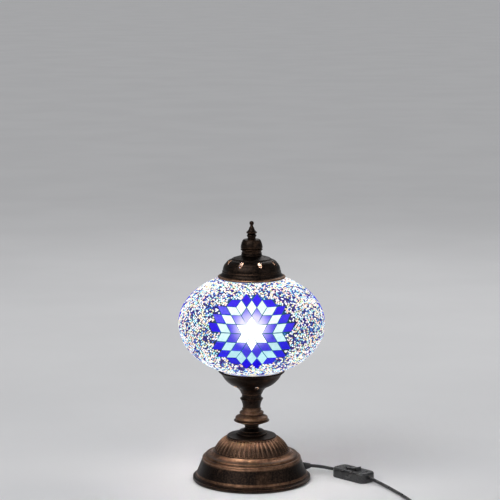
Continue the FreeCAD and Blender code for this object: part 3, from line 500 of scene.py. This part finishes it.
def star_pieces(materials):
    """One mesh of tiles in each colour, over all the stars."""
    rng = random.Random(11)
    for colour, tiles in star_tiles().items():
        vertices, faces = [], []
        for facing in STAR_FACINGS:
            for tile in tiles:
                corner_places, tile_faces = cut_tile(tile, facing, rng)
                first = len(vertices)
                vertices += corner_places
                faces += [tuple(first + i for i in face) for face in tile_faces]
        node = "star_tiles_" + colour
        mesh_piece(
            "glass_" + colour, vertices, faces, "globe", materials[colour], [node],
            smooth=False,
        )


# ---------------------------------------------------------------- grout and beads


def grout_piece(material):
    """The thin plaster that the beads and tiles are set in, a closed skin on the glass."""
    around, down = 160, 64
    rings = [(GROUT_TOP, angle) for angle in np.linspace(-LIMIT, LIMIT, down)]
    rings += [(GROUT_BOTTOM, angle) for angle in np.linspace(LIMIT, -LIMIT, down)]
    vertices = []
    for height, angle in rings:
        for n in range(around):
            place, out = globe_point(2 * math.pi * n / around, angle)
            vertices.append(place + out * height)
    faces = []
    for ring in range(len(rings)):
        faces += ring_faces(ring * around, (ring + 1) % len(rings) * around, around)
    mesh_piece("grout", vertices, faces, "globe", material, ["bead_field"])


def to_outline(x, y, outline):
    """Distance to the outline; negative inside it."""
    nearest, inside = 1.0, False
    for (x0, y0), (x1, y1) in zip(outline, outline[1:] + outline[:1]):
        dx, dy = x1 - x0, y1 - y0
        share = min(1, max(0, ((x - x0) * dx + (y - y0) * dy) / (dx * dx + dy * dy)))
        nearest = min(nearest, math.hypot(x - x0 - share * dx, y - y0 - share * dy))
        if (y0 > y) != (y1 > y) and x < x0 + (y - y0) / dy * dx:
            inside = not inside
    return -nearest if inside else nearest


STAR_REACH = 4.6 * TILE_EDGE  # no point of a star is further than this from its middle


def clear_of_stars(longitude, along, outline, room):
    """Whether a place on the globe is outside every star, with some room to spare."""
    for facing in STAR_FACINGS:
        turn = (longitude - facing + math.pi) % (2 * math.pi) - math.pi
        u = turn * GLASS_RADIUS * math.cos(np.interp(along, ALONG, ANGLES))
        if math.hypot(u, along) < STAR_REACH and to_outline(u, along, outline) < room:
            return False
    return True


BEAD_PITCH = 2.8 * MM
HEXAGON_SHARE = 0.866  # the area for each of a close-packed set, in squares of their pitch
BEAD_RADII = (1.10, 1.42)  # mm
UPRIGHT_SHARE = 0.42  # of the beads, standing on end
DARK_SHARE = 0.29  # of the beads, before the swirls of darker ones
PALE_BEADS = {"white": 0.42, "cream": 0.19, "rose": 0.12, "lime": 0.07, "cyan": 0.20}
DARK_BEADS = {"sky": 0.30, "indigo": 0.70}


def bead_places():
    """Even but unruly places for the beads: longitude and angle on the globe."""
    rng = random.Random(23)
    outline = star_outline()
    count = int((AREA[-1] - AREA[0]) / (HEXAGON_SHARE * BEAD_PITCH**2))
    golden = math.pi * (3 - math.sqrt(5))
    places = []
    for n in range(count):
        area = AREA[0] + (AREA[-1] - AREA[0]) * (n + 0.5) / count
        angle = float(np.interp(area, AREA, ANGLES))
        angle += rng.uniform(-0.3, 0.3) * BEAD_PITCH / meridian_step(angle)
        longitude = n * golden + rng.uniform(-0.3, 0.3) * BEAD_PITCH / (GLASS_RADIUS * math.cos(angle))
        along = float(np.interp(angle, ANGLES, ALONG))
        if clear_of_stars(longitude, along, outline, 0.45 * BEAD_PITCH):
            places.append((longitude, angle))
    return places


def lathe_bead(profile, sides):
    """A closed bead turned about its own axis from (radius, height) points."""
    vertices = [
        (r * math.cos(2 * math.pi * n / sides), r * math.sin(2 * math.pi * n / sides), h)
        for r, h in profile for n in range(sides)
    ]
    faces = [tuple(reversed(range(sides))), tuple(range(len(vertices) - sides, len(vertices)))]
    for ring in range(len(profile) - 1):
        faces += ring_faces(ring * sides, (ring + 1) * sides, sides)
    return np.array(vertices), faces


# A seed bead standing on its end, with its hole showing, and one lying on its side.
BEAD_SIDES = 7
STANDING = lathe_bead(
    [(0.80, -0.75), (1.0, -0.2), (0.98, 0.35), (0.70, 0.75), (0.38, 0.66), (0.30, 0.15)], BEAD_SIDES,
)
LYING = lathe_bead([(0.50, -1.0), (0.88, -0.72), (0.88, 0.72), (0.50, 1.0)], BEAD_SIDES)


def bead_pieces(materials):
    """One mesh of beads in each colour, each bead seated in the grout and a little askew."""
    rng = random.Random(5)
    built = {name: ([], [], 0) for name in (*PALE_BEADS, *DARK_BEADS)}
    for longitude, angle in bead_places():
        place, out = globe_point(longitude, angle)
        swirl = 0.35 * noise.noise(place * 45) + 0.7 * noise.noise(place * 170)
        colours = DARK_BEADS if rng.random() < DARK_SHARE + swirl else PALE_BEADS
        name = rng.choices(list(colours), list(colours.values()))[0]
        upright = rng.random() < UPRIGHT_SHARE
        shape, shape_faces = STANDING if upright else LYING
        size = rng.uniform(*BEAD_RADII) * MM
        east = Vector((-math.sin(longitude), math.cos(longitude), 0))
        turned = Matrix.Rotation(rng.uniform(0, math.tau), 3, out) @ east
        axis = out if upright else turned
        axis = (axis + 0.25 * rng.uniform(-1, 1) * (turned if upright else out)).normalized()
        side = (out.cross(turned) if upright else out).cross(axis).normalized()
        turn = np.array([side, axis.cross(side), axis]).T
        seat = np.array(place + out * (MOSAIC - 1.02 * size - 0.15 * MM * rng.random()))
        points, faces, count = built[name]
        points.append(shape * size @ turn.T + seat)
        faces += [tuple(count + i for i in face) for face in shape_faces]
        built[name] = (points, faces, count + len(shape))
    for name, (points, faces, _) in built.items():
        mesh_piece(
            "beads_" + name, np.concatenate(points).tolist(), faces, "globe", materials[name],
            ["bead_field"],
        )


# ---------------------------------------------------------------- lit glass


def outwardness(look):
    """0 on the globe's glass, 1 at the top of the mosaic."""
    centre, half_axes = (0, 0, GLOBE_Z), (GLASS_RADIUS, GLASS_RADIUS, GLASS_HALF_HEIGHT)
    inputs = {0: look.place, 1: centre}
    from_centre = look.node("VectorMath", inputs, operation="SUBTRACT").outputs[0]
    inputs = {0: from_centre, 1: half_axes}
    shares = look.node("VectorMath", inputs, operation="DIVIDE").outputs[0]
    level = look.node("VectorMath", {0: shares}, operation="LENGTH").outputs["Value"]
    return look.ramp(level, 1.008, 1.024)


HOT_SPOT_RISE = 7 * MM  # along the glass, above a star's middle
HOT_SPOTS = [laid_on_globe(0, HOT_SPOT_RISE, facing)[0] for facing in STAR_FACINGS]


def near_hot_spot(look, far, near):
    """1 where the bulb shines straight through a star's middle, 0 away from there."""
    distances = [
        look.node("VectorMath", {0: look.place, 1: tuple(spot)}, operation="DISTANCE").outputs["Value"]
        for spot in HOT_SPOTS
    ]
    nearest = look.math("MINIMUM", look.math("MINIMUM", distances[0], distances[1]), distances[2])
    return look.ramp(nearest, far, near)


def lit_tile(name, body, low_light, high_light, hot_light, strength):
    """Sheet glass lit from behind: streaked, rippled, paler where the bulb is near."""
    look = Look(
        name, Roughness=0.16, IOR=1.5, Specular_IOR_Level=0.3, Coat_Weight=0.1, Coat_Roughness=0.06,
    )
    streaks = look.noise(55, 4, 0.6, look.stretched((1.0, 1.0, 2.4)))
    each = look.per_piece()
    seeds = look.ramp(look.noise(300, 3, 0.7), 0.35, 0.72, 0.84, 1.06)
    shade = look.ramp(streaks, 0.3, 0.7, 0.80, 1.0)
    shade = look.math("MULTIPLY", shade, look.ramp(each, 0, 1, 0.84, 1.0))
    shade = look.math("MULTIPLY", shade, seeds)
    hot = near_hot_spot(look, 31 * MM, 10 * MM)
    hot = look.math("MULTIPLY", hot, look.ramp(each, 0, 1, 0.75, 1.2))
    hot = look.math("MINIMUM", hot, 1.0)
    raised = look.ramp(look.height(), STAR_Z - 35 * MM, STAR_Z + 35 * MM)
    raised = look.math("ADD", raised, look.ramp(streaks, 0.3, 0.7, -0.2, 0.2))
    colour = look.mix(hot, look.mix(raised, low_light, high_light), hot_light)
    grey = look.mix(hot, look.grey(shade), (1.0, 1.0, 1.0))
    look.glow(look.mix(1.0, colour, grey, "MULTIPLY"), strength)
    look.set("Base Color", look.mix(look.ramp(streaks, 0.3, 0.7), body, tuple(0.6 * c for c in body)))
    look.bump(look.noise(260, 2), 0.25 * MM, 0.5)
    look.material.cycles.emission_sampling = "NONE"
    return look.material


def lit_bead(name, body, light, strength):
    """A glass bead, its glow brightest on its crown and dimmed down in the grout as painted shade."""
    look = Look(
        name, Roughness=0.14, IOR=1.5, Specular_IOR_Level=0.35, Coat_Weight=0.1, Coat_Roughness=0.05,
    )
    each = look.per_piece()
    # Painted shade: the glow dimmed down each bead's sides towards the grout.
    level = look.ramp(outwardness(look), 0.2, 0.95, 0.05, 1.0)
    level = look.math("MULTIPLY", level, look.ramp(each, 0, 1, 0.70, 1.1))
    washed = tuple(min(1, 0.9 * c + 0.06) for c in light)
    tint = look.mix(look.ramp(look.noise(50, 2), 0.35, 0.65), light, washed)
    look.glow(look.mix(1.0, tint, look.grey(level), "MULTIPLY"), strength)
    look.set("Base Color", look.mix(each, body, tuple(0.7 * c for c in body)))
    look.material.cycles.emission_sampling = "NONE"
    return look.material


def lit_grout(name):
    """Plaster that the light hardly comes through, except in the thin lines of a star."""
    look = Look(name, Roughness=0.8, Specular_IOR_Level=0.2)
    patches = look.noise(110, 4, 0.6)
    light = look.mix(look.ramp(patches, 0.40, 0.62), (0.012, 0.004, 0.07), (0.0, 0.022, 0.050))
    light = look.mix(near_hot_spot(look, 56 * MM, 40 * MM), light, (0.002, 0.12, 0.22))
    light = look.mix(near_hot_spot(look, 19 * MM, 8 * MM), light, (0.85, 0.95, 1.0))
    look.glow(light, 1.0)
    plaster = look.mix(look.ramp(patches, 0.3, 0.7), (0.015, 0.015, 0.03), (0.03, 0.035, 0.05))
    look.set("Base Color", plaster)
    look.bump(look.noise(900, 3), 0.2 * MM, 0.7)
    look.material.cycles.emission_sampling = "NONE"
    return look.material


def globe_glass_look(name):
    """The clear globe behind the mosaic, filled with the bulb's light."""
    look = Look(name, Roughness=0.15, IOR=1.5, Coat_Weight=0.5, Coat_Roughness=0.05)
    mottled = look.noise(90, 4, 0.6)
    light = look.mix(look.ramp(mottled, 0.35, 0.65), (0.42, 0.50, 0.95), (1.0, 0.96, 0.88))
    look.glow(light, 0.55)
    body = look.mix(look.ramp(mottled, 0.35, 0.65), (0.35, 0.42, 0.62), (0.66, 0.68, 0.70))
    look.set("Base Color", body)
    look.material.cycles.emission_sampling = "NONE"
    return look.material


# ---------------------------------------------------------------- everything in its material

# The glass's own colour, its light low and high on the globe and near the bulb, and the
# light's strength.
tile_materials = {
    "clear": lit_tile(
        "clear_glass", (0.75, 0.80, 0.80),
        (0.88, 0.97, 1.0), (0.95, 0.98, 1.0), (1.0, 1.0, 1.0), 1.5,
    ),
    "mid_blue": lit_tile(
        "mid_blue_glass", (0.030, 0.025, 0.26),
        (0.045, 0.035, 0.80), (0.13, 0.09, 0.86), (0.80, 0.76, 1.0), 1.0,
    ),
    "pale": lit_tile(
        "pale_glass", (0.40, 0.50, 0.50),
        (0.42, 0.84, 0.93), (0.86, 1.0, 0.90), (0.95, 1.0, 0.98), 1.0,
    ),
    "deep_blue": lit_tile(
        "deep_blue_glass", (0.012, 0.006, 0.16),
        (0.004, 0.0, 0.90), (0.045, 0.02, 0.92), (0.15, 0.10, 0.95), 1.0,
    ),
}
bead_materials = {
    "white": lit_bead("white_beads", (0.50, 0.50, 0.52), (0.92, 0.95, 1.0), 1.12),
    "cream": lit_bead("cream_beads", (0.50, 0.45, 0.34), (1.0, 0.80, 0.50), 1.08),
    "rose": lit_bead("rose_beads", (0.50, 0.38, 0.42), (1.0, 0.62, 0.60), 1.08),
    "lime": lit_bead("lime_beads", (0.42, 0.50, 0.30), (0.80, 1.0, 0.60), 1.0),
    "cyan": lit_bead("cyan_beads", (0.26, 0.45, 0.50), (0.35, 0.80, 0.95), 1.0),
    "sky": lit_bead("sky_beads", (0.05, 0.12, 0.30), (0.05, 0.20, 0.72), 0.9),
    "indigo": lit_bead("indigo_beads", (0.014, 0.008, 0.08), (0.040, 0.012, 0.42), 0.7),
}
star_pieces(tile_materials)
bead_pieces(bead_materials)
grout_piece(lit_grout("grout"))

bronze = antique_bronze("antique_bronze")
_, skirt_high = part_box("base_skirt")
dome_low, dome_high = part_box("base_dome")
collar_low, collar_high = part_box("knob_collar")
rim_low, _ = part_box("top_cap")
NODE_MATERIALS = {
    felt("felt"): ["felt_pad"],
    rough_iron("iron"): ["base_weight"],
    bronze: ["waist_spool", "neck_vase", "gallery", "finial_bell", "finial_spire"],
    # The collar's band: partly rubbed copper, partly painted highlight on its rings.
    antique_bronze("bronze_collar", bands=[(collar_low.z + 6 * MM, collar_high.z, 0.45)]): [
        "knob_collar",
    ],
    # Painted highlight on the dome's upper flute crests, for the globe's light falling on them.
    antique_bronze("bronze_dome", rub=0.9, crests=(dome_low.z + 8 * MM, dome_high.z - 2 * MM)): [
        "base_dome",
    ],
    # The skirt's bands: partly rubbed copper, partly painted highlight on its rings and on the bead above
    # the foot.
    antique_bronze("bronze_skirt", bands=[
        (skirt_high.z - 4 * MM, skirt_high.z, 1.0), (skirt_high.z - 12 * MM, skirt_high.z - 4 * MM, 0.55),
        (8 * MM, 11 * MM, 0.5),
    ]): ["base_skirt"],
    # The cap's band: painted highlight of the globe's light on the rim's bead, with rubbed copper.
    antique_bronze("bronze_cap", bands=[(rim_low.z + 1.0 * MM, rim_low.z + 3.2 * MM, 1.0)]): [
        "top_cap",
    ],
    bright_metal("zinc_steel", (0.62, 0.63, 0.62), (0.42, 0.41, 0.38)): [
        "lower_washer", "lower_nut", "upper_nut", "threaded_tube", "switch_screws", "switch_pin",
        "rocker_bridge", "cap_nut", "finial_stud",
    ],
    bright_metal("spring_steel", (0.30, 0.29, 0.28), (0.16, 0.14, 0.13), 0.34): [
        "globe_clips", "clip_rivets", "cap_clips",
    ],
    bright_metal("brass", (0.72, 0.50, 0.22), (0.48, 0.31, 0.14), 0.28): [
        "holder_shell", "holder_contact", "switch_contacts", "switch_lead_ends",
    ],
    bright_metal("bulb_metal", (0.72, 0.72, 0.70), (0.52, 0.52, 0.50), 0.22): [
        "bulb_cap", "bulb_contact_tip",
    ],
    bright_metal("plug_pin_metal", (0.70, 0.69, 0.65), (0.52, 0.50, 0.45), 0.20): ["plug_pins"],
    moulded("holder_plastic", (0.022, 0.020, 0.019), 0.42): ["holder_base", "holder_sleeve"],
    moulded("bulb_insulator", (0.020, 0.012, 0.018), 0.20, coat=0.4): ["bulb_insulator"],
    lamp_glass("bulb_glass"): ["bulb_glass"],
    glowing_filament("bulb_filament"): ["bulb_filament"],
    globe_glass_look("globe_glass"): ["globe_glass"],
    moulded("black_rubber", (0.014, 0.014, 0.015), 0.48): ["strain_relief", "plug_relief"],
    moulded("black_plastic", (0.010, 0.010, 0.011), 0.20, coat=0.35): [
        "switch_base", "switch_cover", "switch_rocker", "plug_body", "cord_lead_in",
    ],
}
for material, names in NODE_MATERIALS.items():
    for name in names:
        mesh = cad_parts[name].data
        mesh.materials.clear()
        mesh.materials.append(material)

cord_skin = moulded("cord_skin", (0.010, 0.010, 0.011), 0.22, coat=0.3)
for piece in (cord_to_switch, cord_to_plug):
    piece.data.materials.append(cord_skin)

# ---------------------------------------------------------------- stage and light


FLOOR_REACH = 30


def make_floor():
    """A plain pale floor that runs out of sight."""
    look = Look("pale_floor", Roughness=0.7)
    faint = look.noise(3, 3)
    look.set("Base Color", look.mix(look.ramp(faint, 0.3, 0.7), (0.74, 0.74, 0.75), (0.77, 0.77, 0.78)))
    mesh = bpy.data.meshes.new("floor")
    corners = [
        (-FLOOR_REACH, -FLOOR_REACH, 0), (FLOOR_REACH, -FLOOR_REACH, 0),
        (FLOOR_REACH, FLOOR_REACH, 0), (-FLOOR_REACH, FLOOR_REACH, 0),
    ]
    mesh.from_pydata(corners, [], [(0, 1, 2, 3)])
    mesh.materials.append(look.material)
    floor = bpy.data.objects.new("floor", mesh)
    bpy.context.collection.objects.link(floor)


def area_light(name, place, target, size, power):
    """A soft square light turned towards the target."""
    light = bpy.data.lights.new(name, "AREA")
    light.size = size
    light.energy = power
    lamp = bpy.data.objects.new(name, light)
    bpy.context.collection.objects.link(lamp)
    lamp.location = place
    lamp.rotation_mode = "QUATERNION"
    lamp.rotation_quaternion = (Vector(target) - Vector(place)).to_track_quat("-Z", "Y")


def soft_sun(power, tilt, turn):
    """Light as even over the whole floor as from a large window far away."""
    light = bpy.data.lights.new("soft_sun", "SUN")
    light.energy = power
    light.angle = math.radians(50)
    lamp = bpy.data.objects.new("soft_sun", light)
    bpy.context.collection.objects.link(lamp)
    lamp.rotation_euler = (math.radians(tilt), 0, math.radians(turn))


def point_light(name, place, power, size):
    """A small warm light inside the lamp."""
    light = bpy.data.lights.new(name, "POINT")
    light.energy = power
    light.color = (1.0, 0.93, 0.85)
    light.shadow_soft_size = size
    lamp = bpy.data.objects.new(name, light)
    bpy.context.collection.objects.link(lamp)
    lamp.location = place


GALLERY_HOLES = 6
GALLERY_TURN = -76  # degrees from +X to the first light inside the dish, behind its hole
GALLERY_LIGHT_RADIUS, GALLERY_LIGHT_DEPTH = 21 * MM, 16 * MM


def bulb_lights():
    """The bulb's light above its glass, for the cap, and what comes down to the dish's holes."""
    _, bulb_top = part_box("bulb_glass")
    point_light("bulb_light", (0, 0, bulb_top.z + 16 * MM), 3.5, 12 * MM)
    _, gallery_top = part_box("gallery")
    for n in range(GALLERY_HOLES):
        turn = math.radians(GALLERY_TURN + 360 / GALLERY_HOLES * n)
        place = (
            GALLERY_LIGHT_RADIUS * math.cos(turn), GALLERY_LIGHT_RADIUS * math.sin(turn),
            gallery_top.z - GALLERY_LIGHT_DEPTH,
        )
        point_light(f"gallery_light_{n + 1}", place, 0.4, 2 * MM)


make_floor()
soft_sun(1.35, 38, -35)
area_light("key", (-1.3, -1.2, 1.7), (0, 0, 0.15), 1.2, 10.0)
area_light("fill", (1.6, -0.9, 1.1), (0, 0, 0.15), 1.4, 5.0)
area_light("back", (0.3, 1.6, 1.6), (0, 0, 0.15), 1.2, 7.0)
bulb_lights()

world = bpy.data.worlds.new("studio")
world.use_nodes = True
background = world.node_tree.nodes["Background"]
background.inputs["Color"].default_value = (0.62, 0.63, 0.65, 1)
background.inputs["Strength"].default_value = 0.30
bpy.context.scene.world = world
bpy.context.scene.view_settings.view_transform = "Standard"
